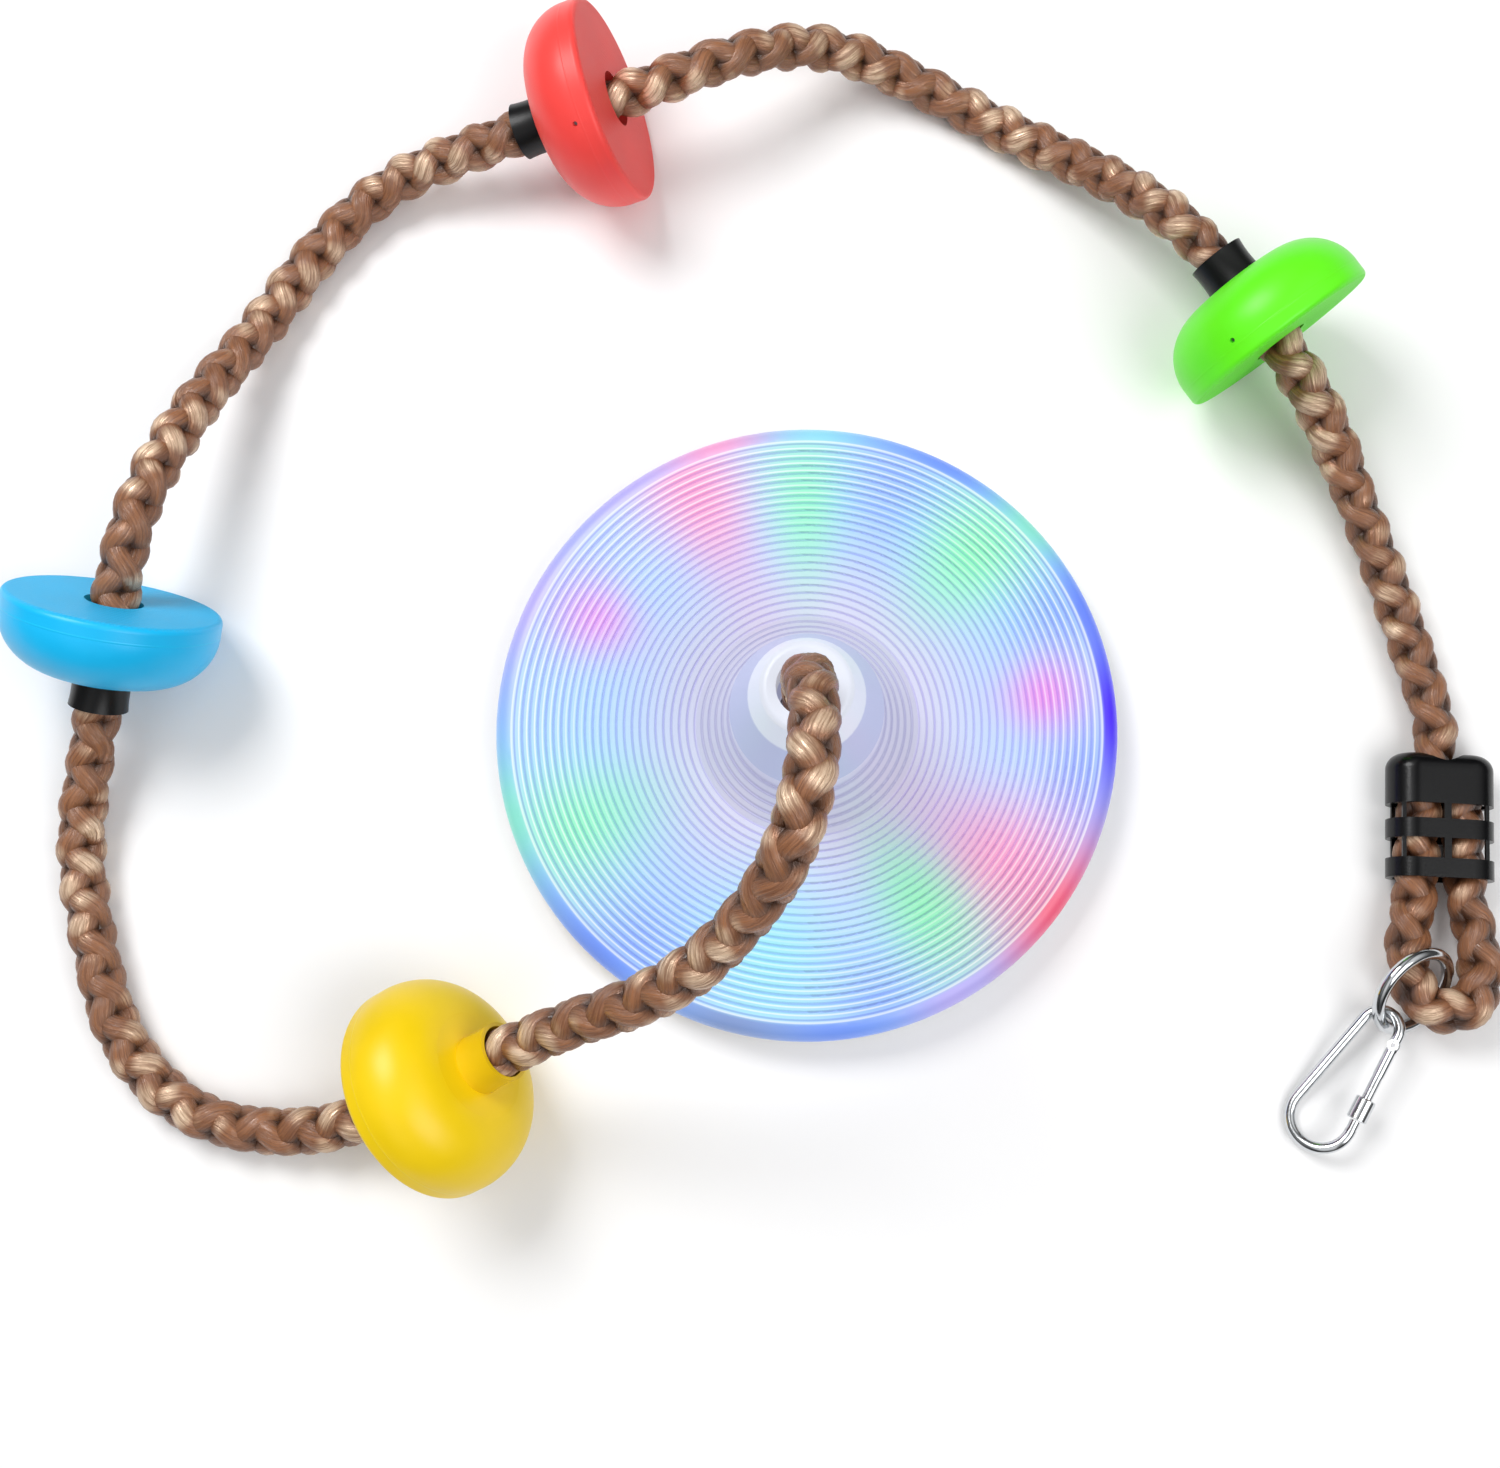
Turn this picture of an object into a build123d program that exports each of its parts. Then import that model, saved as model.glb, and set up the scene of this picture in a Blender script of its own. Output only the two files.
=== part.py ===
"""Light-up disc swing seat on a climbing rope with four foot platforms.

Millimetres. The origin is on the floor under the seat's axis, +Z up. The seat stands on
its feet; the rope comes out of the hub, lies round the seat on the floor and ends in a
clamped eye that holds a steel ring and a screw-lock carabiner.
"""
from build123d import *
import math
import os

os.makedirs("parts", exist_ok=True)

# ---------------------------------------------------------------- driving sizes
# seat
seat_d = 300.0              # outside diameter of the disc
disc_top_z = 26.0           # height of the disc's upper surface, unless the cells need more
base_z = 3.0                # underside of the base shell, the height of the feet
split_z = 13.0              # joint between the two shells
shell_wall = 2.6
rim_roll_r = 8.0            # rounded rim
groove_count = 23
groove_pitch = 3.765
groove_edge = 13.4          # from the disc's outer edge to the outermost groove
groove_r = 0.8              # radius of the groove's round section
foot_rings = (0.845, 0.644, 0.443, 0.253, 0.075)    # rings on the flare, from shoulder to foot

# hub
hub_top_z = 119.0
hub_top_r = 20.7
hub_shoulder_r = 35.6
hub_shoulder_z = 66.0
hub_foot_r = 53.0
hub_edge = 4.0              # rounding at the hub's mouth

# rope
rope_d = 24.0
rope_bore_gap = 1.5         # round the rope in the hub
knot_d = 56.0
knot_h = 40.0
knot_z = 9.0                # underside of the knot
washer_t = 3.0
washer_gap = 0.3            # between the washer and the recess roof that it turns under
washer_side_gap = 1.0       # radial, washer in its recess
recess_roof_t = 4.0
recess_wall = 1.6
knot_gap = 3.0              # round the knot in its recess

# platforms and what holds them
platform_d = 100.0
platform_t = 36.0
platform_crown_d = 50.0     # flat end of the domed side
platform_skirt = 8.0        # straight edge before the dome starts
platform_bore_gap = 1.5     # round the rope
collar_wall = 1.8
collar_l = 16.0
collar_waist = 0.5          # how far the middle of a collar is drawn in
pin_d = 2.0
pin_from_face = 11.0
pin_bite = 2.0              # how far a pin goes into the rope
pin_sink = 2.5              # how far its head lies below the platform's edge
pin_gap = 0.05              # radial, pin in its platform

# clamp
loop_d = 22.0               # rope squeezed in the clamp and round its eye
leg_gap = 0.4               # between the two legs in the clamp
clamp_wall = 2.2
clamp_side_wall = 3.2
cap_l = 25.0
cap_round = 8.0             # rounding of the cap's closed end
cap_web = 12.4              # depth at which the cap's single bore meets its double one
cap_entry = 13.0            # length of rope inside the cap
band_lap = 2.2              # how much nearer the first band stands than the second gap
band_l = 9.2
band_gap = 9.6              # from the cap's mouth to the first band, and between the bands
bar_w = 3.4
mid_bar_t = 2.0
side_bar_w = 1.8
side_bar_t = 2.0
side_bar_at = (19.7, 9.2)   # middle of a side bar, across and up from the clamp's axis
rivet_d = 3.2
rivet_sink = 0.9            # middle of a rivet below the band's surface
clamp_gap = 0.15            # round the squeezed rope

# ring and carabiner
ring_wire = 6.0
ring_mid_d = 42.0
hook_wire = 5.4
hook_eye_r = 8.8            # middle of the wire at the small end
hook_bow_r = 14.6           # middle of the wire at the wide end
hook_span = 50.0            # between the centres of the two ends
gate_start = 4.5            # hinge, measured along the gate side from the small end
gate_end = 43.5             # free end of the gate
nose_gap = 0.4
nose_len = 4.6              # turned down for the nut
hang_play = 0.7             # between the ring and the inside of the small end
thread_d = 5.0
thread_l = 23.0
nut_d = 9.5
nut_l = 11.0
nut_gap = 0.1               # radial, on the gate's thread
hinge_pin_d = 2.0
hinge_gap = 0.05            # radial, gate on its pin
spring_bore_r = 1.2
spring_l = 8.0
tongue_t = 2.0
tongue_gap = 0.3            # each side, gate fork on the frame's tongue

# inside the seat
strip_mid_r = 127.0
strip_w = 10.0
strip_t = 1.6
strip_z = 9.0
chip_count = 24
chip_w = 5.0
chip_t = 1.6
cell_d = 14.2
cell_l = 50.5
cell_gap = 0.5
cell_count = 3
tray_wall = 1.4
tray_x = -84.0
cell_play = 0.8             # above the cells in their tray
tray_sink = 0.4             # the tray stands this far above the seat's floor
tray_head = 1.0             # least room above the tray
board_l = 46.0
board_w = 30.0
board_t = 1.6
board_x = 84.0
board_z = 10.4
button_d = 12.0
button_flange = 2.0
button_gap = 0.3
button_travel = 0.8
button_out = 1.2            # how far the cap lies inside the floor plane
screw_count = 8
screw_ring_r = 110.0
screw_turn = 22.5           # first screw's angle, clear of the battery bay and the board
screw_d = 3.0
screw_head_d = 6.0
screw_head_t = 2.0
screw_l = 16.0
boss_d = 9.0
foot_count = 6
foot_d = 16.0
foot_ring_r = 132.0
foot_sink = 0.6
seal_mid_r = 145.0
seal_w = 2.0
seal_h = 1.6
door_t = 2.0
door_lip = 4.0
gasket_t = 0.6

# shared by many features
fit_gap = 0.2               # loose fits inside one body
press_gap = 0.1             # close fits inside one body
over = 1.0                  # how far a cut runs past the face that it opens

# ---------------------------------------------------------------- worked out
seat_r = seat_d / 2
floor_top = base_z + shell_wall
tray_top = floor_top + tray_sink + cell_d + cell_play + tray_wall
seat_top_z = max(disc_top_z, tray_top + tray_head + shell_wall)
bore_r = rope_d / 2 + rope_bore_gap
recess_r = knot_d / 2 + knot_gap
roof_z = knot_z + knot_h + washer_t + washer_gap + recess_roof_t
platform_r = platform_d / 2
lift = platform_r           # a platform's axis stands about this high on its rim
loop_z = loop_d / 2 + 2.5   # the clamp's walls keep its rope off the floor
floor_z = rope_d / 2


def save(name, *shapes):
    """Write one node, made of the shapes given, as solids of their own."""
    solids = [s for shape in shapes for s in Compound([shape]).solids()]
    node = Compound(solids) if len(solids) > 1 else solids[0]
    node.label = name
    export_step(node, f"parts/{name}.step")
    return node


def ring_of(count, radius, start=0.0):
    """Places evenly round the seat's axis, as (x, y, angle)."""
    for i in range(count):
        angle = start + 360.0 * i / count
        rad = math.radians(angle)
        yield radius * math.cos(rad), radius * math.sin(rad), angle


def rod(radius, z0, z1, x=0.0, y=0.0):
    """Upright cylinder from z0 to z1."""
    return Pos(x, y, (z0 + z1) / 2) * Cylinder(radius, z1 - z0)


def tube(outer, inner, z0, z1, x=0.0, y=0.0):
    """Upright tube from z0 to z1."""
    return rod(outer, z0, z1, x, y) - rod(inner, z0 - over, z1 + over, x, y)


def slab(dx, dy, z0, z1, x=0.0, y=0.0):
    """Upright block from z0 to z1."""
    return Pos(x, y, (z0 + z1) / 2) * Box(dx, dy, z1 - z0)


def spun(wire_edges):
    """Solid of revolution about Z from closed edges drawn in the XZ plane."""
    return revolve(make_face(Wire(wire_edges)), Axis.Z)


# ---------------------------------------------------------------- rope route
# Chosen points, from the hub's mouth to the clamp. Heights near a platform follow its
# size, so that it stands on the floor.
route = [
    (0, 0, hub_top_z),
    (0, 0, hub_top_z + 31),
    (3, -14, hub_top_z + 63),
    (3, -46, hub_top_z + 81),
    (-6, -80, hub_top_z + 73),
    (-24, -104, 158),
    (-58, -132, lift + 74),
    (-118, -147.4, lift + 29.5),     # yellow platform, seat side
    (-191, -181.5, lift - 18.9),     # yellow platform, far side
    (-238, -194, floor_z),
    (-290, -186, floor_z),
    (-326, -150, floor_z),
    (-341, -102, floor_z),
    (-351, -56, floor_z),
    (-342, -9.6, lift - 24.6),       # blue platform, seat side
    (-322, 71.4, lift + 9.1),        # blue platform, far side
    (-313, 108, lift + 10),
    (-296, 158, 40),
    (-274, 206, 14),
    (-250, 246, floor_z),
    (-214, 284, 14),
    (-162.8, 295.2, lift - 18.3),    # red platform, seat side
    (-74.4, 314, lift + 7.6),        # red platform, far side
    (-34, 333, lift + 4),
    (10, 352, 30),
    (60, 338, floor_z),
    (106, 311, floor_z),
    (148, 283, 26),
    (186, 242.3, lift + 6.1),        # green platform, seat side
    (241.6, 167, lift - 2),          # green platform, far side
    (268, 124, 18),
    (288, 70, floor_z),
    (300, 26, floor_z),
    (306.9, -1, loop_z),
    (305.6, -26, loop_z),
]
yellow_run = 7
blue_run = 14
red_run = 21
green_run = 28

leg_mid = (loop_d + leg_gap) / 2
eye_loop = [
    (305.6 - leg_mid, -26.6, loop_z),
    (302.6 - leg_mid, -82, loop_z),
    (285, -100, loop_z + 2.3),
    (285, -126, loop_z + 4.8),
    (295, -136, loop_z + 6.3),
    (309, -136, loop_z + 6.3),
    (319, -126, loop_z + 4.8),
    (319, -100, loop_z + 2.3),
    (302.6 + leg_mid, -83.2, loop_z),
    (305.6 + leg_mid, -27.8, loop_z),
]


def corner_radii(points):
    """Largest tangent arc at each corner: 0.45 of the shorter run on each side."""
    radii = []
    for a, b, c in zip(points, points[1:], points[2:]):
        into = Vector(*b) - Vector(*a)
        out = Vector(*c) - Vector(*b)
        half_turn = math.radians(into.get_angle(out)) / 2
        radii.append(0.45 * min(into.length, out.length) / math.tan(half_turn))
    return radii


def rope_tube(points, diameter, name):
    """Round tube along straight runs joined by tangent arcs."""
    radii = corner_radii(points)
    path = FilletPolyline(*points, radius=radii)
    print(name, "length", round(path.length, 1), "smallest radius", round(min(radii), 1))
    print("  radii", [round(r) for r in radii])
    start = path @ 0
    section = Plane(start, z_dir=path % 0) * Circle(diameter / 2)
    body = sweep(section, path=path)
    want = math.pi * diameter ** 2 / 4 * path.length
    print("  volume against section x length", round(body.volume / want, 4))
    return body


rope = save("rope", rope_tube(route, rope_d, "rope"))
rope_eye = save("rope_eye", rope_tube(eye_loop, loop_d, "rope_eye"))


# ---------------------------------------------------------------- seat shells
def in_xz(rz):
    """Point of the XZ plane from (radius, height)."""
    return (rz[0], 0, rz[1])


def hub_side(offset):
    """Edges of the hub and its flare, from the disc up to the mouth's outer edge."""
    top = hub_top_z - offset
    mouth_r = hub_top_r - offset
    shoulder = (hub_shoulder_r - offset, hub_shoulder_z)
    foot = (hub_foot_r - offset, seat_top_z - offset)
    sag = ((shoulder[0] * 2 + foot[0]) / 3 - 1.5, (shoulder[1] * 2 + foot[1] * 3) / 5)
    flare = ThreePointArc(in_xz(foot), in_xz(sag), in_xz(shoulder))
    side = Line(in_xz(shoulder), in_xz((mouth_r + 0.6, top - hub_edge)))
    return flare, side, (mouth_r + 0.6, top - hub_edge), top


def shell_outline(offset, low_z):
    """Closed edges of the top shell's outside, drawn in by offset, down to low_z."""
    rim = seat_r - offset
    top = seat_top_z - offset
    roll = rim_roll_r - offset
    flare, side, neck, mouth_z = hub_side(offset)
    edges = [
        Line((0, 0, low_z), (rim, 0, low_z)),
        Line((rim, 0, low_z), (rim, 0, top - roll)),
        ThreePointArc((rim, 0, top - roll),
                      (rim - roll * (1 - math.sqrt(0.5)), 0, top - roll * (1 - math.sqrt(0.5))),
                      (rim - roll, 0, top)),
        Line((rim - roll, 0, top), in_xz((hub_foot_r - offset, top))),
        flare,
        side,
        ThreePointArc(in_xz(neck),
                      in_xz((neck[0] - 1.2, mouth_z - 1.2)),
                      in_xz((neck[0] - hub_edge, mouth_z))),
        Line(in_xz((neck[0] - hub_edge, mouth_z)), (0, 0, mouth_z)),
        Line((0, 0, mouth_z), (0, 0, low_z)),
    ]
    return edges


def flare_z(radius):
    """Height of the flare's outside at a radius, from its arc."""
    flare = hub_side(0)[0]
    hits = [flare @ (i / 60) for i in range(61)]
    return min(hits, key=lambda p: abs(p.X - radius)).Z


def groove(radius, z):
    """Round-bottomed ring groove."""
    return Pos(0, 0, z) * Torus(radius, groove_r)


top_shell = spun(shell_outline(0, split_z)) - spun(shell_outline(shell_wall, split_z - over))
top_shell += tube(bore_r + shell_wall, bore_r, roof_z, hub_top_z - 1)
top_shell += tube(hub_top_r - 2, bore_r, hub_top_z - shell_wall - 2, hub_top_z - 0.5)
top_shell -= rod(bore_r, split_z - over, hub_top_z + over)
for k in range(groove_count):
    top_shell -= groove(seat_r - groove_edge - groove_pitch * k, seat_top_z + 0.15)
for share in foot_rings:
    ring_r = hub_shoulder_r + (hub_foot_r - hub_shoulder_r) * share
    top_shell -= groove(ring_r, flare_z(ring_r))
for x, y, _ in ring_of(screw_count, screw_ring_r, screw_turn):
    top_shell += rod(boss_d / 2, split_z, seat_top_z - shell_wall + 0.5, x, y)
    top_shell -= rod(screw_d / 2 - 0.05, split_z - 1, base_z + screw_head_t + screw_l + 0.6, x, y)
seal_groove = tube(seal_mid_r + seal_w / 2, seal_mid_r - seal_w / 2,
                   split_z - seal_h / 2, split_z + seal_h / 2)
top_shell += tube(seat_r - 1, seal_mid_r - 3, split_z, split_z + 3.0)
top_shell -= seal_groove
save("seat_top_shell", top_shell)

tray_dx = cell_count * (cell_d + cell_gap) + cell_gap + 2 * tray_wall
tray_dy = cell_l + 6.0 + 2 * tray_wall
door_dx = tray_dx + 2 * door_lip
door_dy = tray_dy + 2 * door_lip
corner_in = door_lip + 3.5
door_screws = [(tray_x + sx * (door_dx / 2 - 0.3), sy * (door_dy / 2 - corner_in))
               for sx in (-1, 1) for sy in (-1, 1)]

base_shell = rod(seat_r, base_z, split_z)
base_shell = fillet(base_shell.edges().sort_by(Axis.Z)[0], 7.0)
hollow = rod(seat_r - shell_wall, floor_top, split_z + 1)
hollow = fillet(hollow.edges().sort_by(Axis.Z)[0], 5.0)
base_shell -= hollow
base_shell += tube(seat_r - 1, seal_mid_r - 3, floor_top + 1, split_z)
base_shell += rod(recess_r + recess_wall, base_z, roof_z)
base_shell -= rod(recess_r, base_z - over, roof_z - recess_roof_t)
base_shell -= rod(bore_r, base_z, roof_z + 1)
for x, y, _ in ring_of(screw_count, screw_ring_r, screw_turn):
    base_shell += rod(boss_d / 2, floor_top - 1, split_z, x, y)
    base_shell -= rod(screw_d / 2 + fit_gap, base_z - 1, split_z + 1, x, y)
    base_shell -= rod(screw_head_d / 2 + fit_gap, base_z - 1, base_z + screw_head_t, x, y)
for x, y, _ in ring_of(foot_count, foot_ring_r, 30.0):
    base_shell -= rod(foot_d / 2 + 0.1, base_z - 1, base_z + foot_sink, x, y)
for x, y, _ in ring_of(8, strip_mid_r, 11.25):
    base_shell += rod(2.5, floor_top - 1, strip_z, x, y)
for sx in (-1, 1):
    for sy in (-1, 1):
        px = board_x + sx * (board_l / 2 - 4)
        py = sy * (board_w / 2 - 4)
        base_shell += rod(2.5, floor_top - 1, board_z, px, py)
        base_shell -= rod(0.9, board_z - 3, board_z + 1, px, py)
# battery bay: an opening for the cells, a rebate for the door and posts for its screws
base_shell += slab(door_dx + 12, door_dy + 2, base_z, floor_top + 0.4, tray_x)
base_shell -= slab(tray_dx, tray_dy, base_z - 1, floor_top + 1, tray_x)
base_shell -= slab(door_dx + 7, door_dy, base_z - 1, base_z + door_t, tray_x)
for x, y in door_screws:
    base_shell += rod(3.2, base_z + door_t, floor_top + 6, x, y)
    base_shell -= rod(1.1, base_z - 1, floor_top + 5, x, y)
# button: a hole in the floor with a socket round its flange
button_hole_r = button_d / 2 + button_gap
flange_r = button_d / 2 + button_flange
base_shell += tube(flange_r + button_gap + 1.6, flange_r + button_gap, floor_top - 1, board_z - 0.6, board_x)
base_shell -= rod(button_hole_r, base_z - 1, floor_top + 0.2, board_x)
base_shell -= seal_groove
save("seat_base_shell", base_shell)

save("shell_seal", tube(seal_mid_r + seal_w / 2 - 0.1, seal_mid_r - seal_w / 2 + 0.1,
                        split_z - seal_h / 2, split_z + seal_h / 2))


# ---------------------------------------------------------------- fasteners and feet
def pan_screw(x, y, z, length, shank_d, head_d, head_t):
    """Screw with its head down at z, with a cross recess in the head."""
    body = rod(head_d / 2, z, z + head_t, x, y) + rod(shank_d / 2, z + head_t, z + head_t + length, x, y)
    for turn in (0, 90):
        body -= Pos(x, y, z) * Rot(0, 0, turn) * Box(head_d * 0.6, head_d * 0.14, head_t)
    return body


shell_screws = [pan_screw(x, y, base_z, screw_l, screw_d - 0.1, screw_head_d, screw_head_t - 0.1)
                for x, y, _ in ring_of(screw_count, screw_ring_r, screw_turn)]
save("shell_screws", *shell_screws)

feet = []
for x, y, _ in ring_of(foot_count, foot_ring_r, 30.0):
    foot = rod(foot_d / 2, 0, base_z + foot_sink, x, y)
    foot = fillet(foot.edges().sort_by(Axis.Z)[0], 1.2)
    feet.append(foot)
save("rubber_feet", *feet)

# ---------------------------------------------------------------- lights and electronics
led_strip = tube(strip_mid_r + strip_w / 2, strip_mid_r - strip_w / 2, strip_z, strip_z + strip_t)
save("led_strip", led_strip)
chips = [Pos(x, y, strip_z + strip_t + chip_t / 2) * Rot(0, 0, a) * Box(chip_w, chip_w, chip_t)
         for x, y, a in ring_of(chip_count, strip_mid_r)]
save("led_chips", *chips)

board = slab(board_l, board_w, board_z, board_z + board_t, board_x)
board_screws = []
for sx in (-1, 1):
    for sy in (-1, 1):
        px = board_x + sx * (board_l / 2 - 4)
        py = sy * (board_w / 2 - 4)
        board -= rod(1.2, board_z - 1, board_z + board_t + 1, px, py)
        board_screws.append(rod(2.0, board_z + board_t, board_z + board_t + 1.4, px, py)
                            + rod(0.85, board_z - 2.8, board_z + board_t, px, py))
save("control_board", board)
save("board_screws", *board_screws)
save("controller_chip", slab(8, 8, board_z + board_t, board_z + board_t + 1.2, board_x - 10, 2))
plunger_gap = button_travel + 0.2
switch_low = board_z - 1.4
save("push_switch", slab(6, 6, switch_low, board_z, board_x))

button_top = switch_low - plunger_gap
button = rod(button_d / 2, button_out, floor_top + 0.3, board_x)
button = fillet(button.edges().sort_by(Axis.Z)[0], 0.8)
button += rod(flange_r, floor_top + 0.3, floor_top + 1.5, board_x)
button += rod(1.8, floor_top + 1.5, button_top, board_x)
save("power_button", button)
bezel = tube(button_d / 2 + 4.0, button_hole_r, base_z - 1.0, base_z, board_x)
bezel = fillet(bezel.edges().sort_by(Axis.Z)[0], 0.6)
save("button_bezel", bezel)

# ---------------------------------------------------------------- battery bay
tray_low = floor_top + tray_sink
tray = slab(tray_dx, tray_dy, tray_low, tray_top, tray_x)
tray -= slab(tray_dx - 2 * tray_wall, tray_dy - 2 * tray_wall, tray_low - 1, tray_top - tray_wall, tray_x)
save("battery_tray", tray)
cells = []
contacts = []
for k in range(cell_count):
    cx = tray_x + (k - (cell_count - 1) / 2) * (cell_d + cell_gap)
    cz = tray_low + 0.2 + cell_d / 2
    flip = 1 if k % 2 else -1
    cell = Cylinder(cell_d / 2, cell_l - 1.2) + Pos(0, 0, cell_l / 2) * Cylinder(2.7, 1.2)
    cells.append(Pos(cx, 0, cz) * Rot(90 * flip, 0, 0) * cell)
    for end in (-1, 1):
        inner_face = tray_dy / 2 - tray_wall
        plate = slab(10.0, 0.5, cz - 5, cz + 5, cx, end * (inner_face - 0.25))
        plate += Pos(cx, end * (inner_face - 1.1), cz) * Rot(90, 0, 0) * Cylinder(2.2, 1.2)
        contacts.append(plate)
save("batteries", *cells)
save("battery_contacts", *contacts)
door = slab(door_dx + 6.4, door_dy - 0.6, base_z, base_z + door_t - gasket_t, tray_x)
for x, y in door_screws:
    door -= rod(1.3, base_z - 1, base_z + door_t, x, y)
    door -= rod(2.5, base_z - 1, base_z + 0.7, x, y)
save("battery_door", door)
gasket = slab(door_dx + 6.4, door_dy - 0.6, base_z + door_t - gasket_t, base_z + door_t, tray_x)
gasket -= slab(tray_dx + 1.0, tray_dy + 1.0, base_z, base_z + door_t + 1, tray_x)
for x, y in door_screws:
    gasket -= rod(1.3, base_z, base_z + door_t + 1, x, y)
save("battery_gasket", gasket)
save("battery_door_screws", *[pan_screw(x, y, base_z - 0.2, 6.0, 2.2, 4.6, 0.9) for x, y in door_screws])

# ---------------------------------------------------------------- knot and washer
knot_top = knot_z + knot_h
knot = Pos(0, 0, knot_z + knot_h / 2) * Sphere(knot_d / 2)
knot &= rod(knot_d / 2, knot_z, knot_top)
knot += rod(rope_d / 2, knot_top - 1, hub_top_z)
save("rope_knot", knot)
save("knot_washer", tube(recess_r - washer_side_gap, rope_d / 2 + press_gap, knot_top, knot_top + washer_t))


# ---------------------------------------------------------------- platforms
def platform_frame(run):
    """Frame of the platform on a run of the route: origin at the middle of the platform's
    thickness, +Z along the rope towards the seat, +X as nearly up as it can be. The
    platform and its collar are centred on the run together."""
    near, far = Vector(*route[run]), Vector(*route[run + 1])
    axis = (near - far).normalized()
    middle = far + axis * ((near - far).length - collar_l) / 2
    up = (Vector(0, 0, 1) - axis * axis.Z).normalized()
    return Plane(middle, x_dir=up, z_dir=axis).location


def platform_body():
    """Domed platform, flat face at -Z, bored for the rope."""
    low, high = -platform_t / 2, platform_t / 2
    crown = platform_crown_d / 2
    dome_low = low + platform_skirt
    edge = 3.0
    mid = math.sqrt(0.5)
    outline = [
        Line((0, 0, low), (platform_r - edge, 0, low)),
        ThreePointArc((platform_r - edge, 0, low), (platform_r - edge * (1 - mid), 0, low + edge * (1 - mid)),
                      (platform_r, 0, low + edge)),
        Line((platform_r, 0, low + edge), (platform_r, 0, dome_low)),
        ThreePointArc((platform_r, 0, dome_low),
                      (crown + (platform_r - crown) * mid, 0, dome_low + (high - dome_low) * mid),
                      (crown, 0, high)),
        Line((crown, 0, high), (0, 0, high)),
        Line((0, 0, high), (0, 0, low)),
    ]
    body = spun(outline) - rod(rope_d / 2 + platform_bore_gap, low - 1, high + 1)
    pin_z = low + pin_from_face
    body -= Pos(platform_r, 0, pin_z) * Rot(0, 90, 0) * Cylinder(pin_d / 2 + 0.2, 2 * pin_sink)
    body -= Pos(platform_r / 2, 0, pin_z) * Rot(0, 90, 0) * Cylinder(pin_d / 2 + pin_gap, platform_r)
    return body


def collar_body():
    """Waisted collar pressed on the rope, its near end against the dome."""
    start = platform_t / 2
    outer = rope_d / 2 + collar_wall
    inner = rope_d / 2
    outline = [
        Line((inner, 0, start), (outer, 0, start)),
        ThreePointArc((outer, 0, start), (outer - collar_waist, 0, start + collar_l / 2),
                      (outer, 0, start + collar_l)),
        Line((outer, 0, start + collar_l), (inner, 0, start + collar_l)),
        Line((inner, 0, start + collar_l), (inner, 0, start)),
    ]
    return spun(outline)


def pin_body():
    """Headless pin from just under the platform's edge into the rope."""
    length = platform_r - pin_sink - (rope_d / 2 - pin_bite)
    middle = (platform_r - pin_sink + rope_d / 2 - pin_bite) / 2
    return Pos(middle, 0, -platform_t / 2 + pin_from_face) * Rot(0, 90, 0) * Cylinder(pin_d / 2, length)


pins = []
for colour, run, turn in (("yellow", yellow_run, 180), ("blue", blue_run, 180),
                          ("red", red_run, -35), ("green", green_run, -43)):
    place = platform_frame(run) * Rot(0, 0, turn)
    save(f"{colour}_platform", place * platform_body())
    save(f"{colour}_collar", place * collar_body())
    pins.append(place * pin_body())
save("platform_pins", *pins)

# ---------------------------------------------------------------- rope clamp
clamp_axis = Vector(-0.0523, -0.9986, 0)
clamp_mouth = Vector(*route[-1]) - clamp_axis * cap_entry
# local frame of the clamp: +Z along the rope away from the platforms, +Y up
clamp_place = Plane(clamp_mouth, x_dir=Vector(0, 0, 1).cross(clamp_axis), z_dir=clamp_axis).location
leg_half = loop_d + leg_gap / 2
inner_half = leg_half + clamp_gap
outer_half = inner_half + clamp_side_wall
thick_half = loop_d / 2 + clamp_wall


def stadium(half_w, half_t, z0, z1):
    """Block with round ends, long in X."""
    shape = SlotOverall(2 * half_w, 2 * half_t)
    return Pos(0, 0, z0) * extrude(shape, z1 - z0)


inner_thick = loop_d / 2 + clamp_gap
cap = stadium(outer_half, thick_half, 0, cap_l)
cap = fillet(cap.faces().sort_by(Axis.Z)[0].edges(), cap_round)
cap -= stadium(inner_half, inner_thick, cap_web, cap_l + over)
cap -= rod(rope_d / 2 + clamp_gap, -over, cap_web + fit_gap)
save("clamp_cap", clamp_place * cap)

band_1 = cap_l + band_gap - band_lap
band_2 = band_1 + band_l + band_gap
cage = stadium(outer_half, thick_half, band_1, band_1 + band_l)
cage += stadium(outer_half, thick_half, band_2, band_2 + band_l)
cage -= stadium(inner_half, inner_thick, cap_l - over, band_2 + band_l + over)
for sy in (-1, 1):
    cage += slab(bar_w, mid_bar_t, cap_l, band_2 + over, 0, sy * (thick_half - mid_bar_t / 2))
    for sx in (-1, 1):
        cage += slab(side_bar_w, side_bar_t, cap_l, band_2 + over, sx * side_bar_at[0], sy * side_bar_at[1])
rivets = []
for z in (band_1 + band_l / 2, band_2 + band_l / 2):
    for sx in (-1, 1):
        rivets.append(Pos(sx * leg_mid, thick_half - rivet_sink, z) * Rot(90, 0, 0)
                      * Cylinder(rivet_d / 2, rivet_d / 2))
for rivet in rivets:
    cage -= rivet
save("clamp_cage", clamp_place * cage)
save("clamp_rivets", *[clamp_place * rivet for rivet in rivets])

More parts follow.
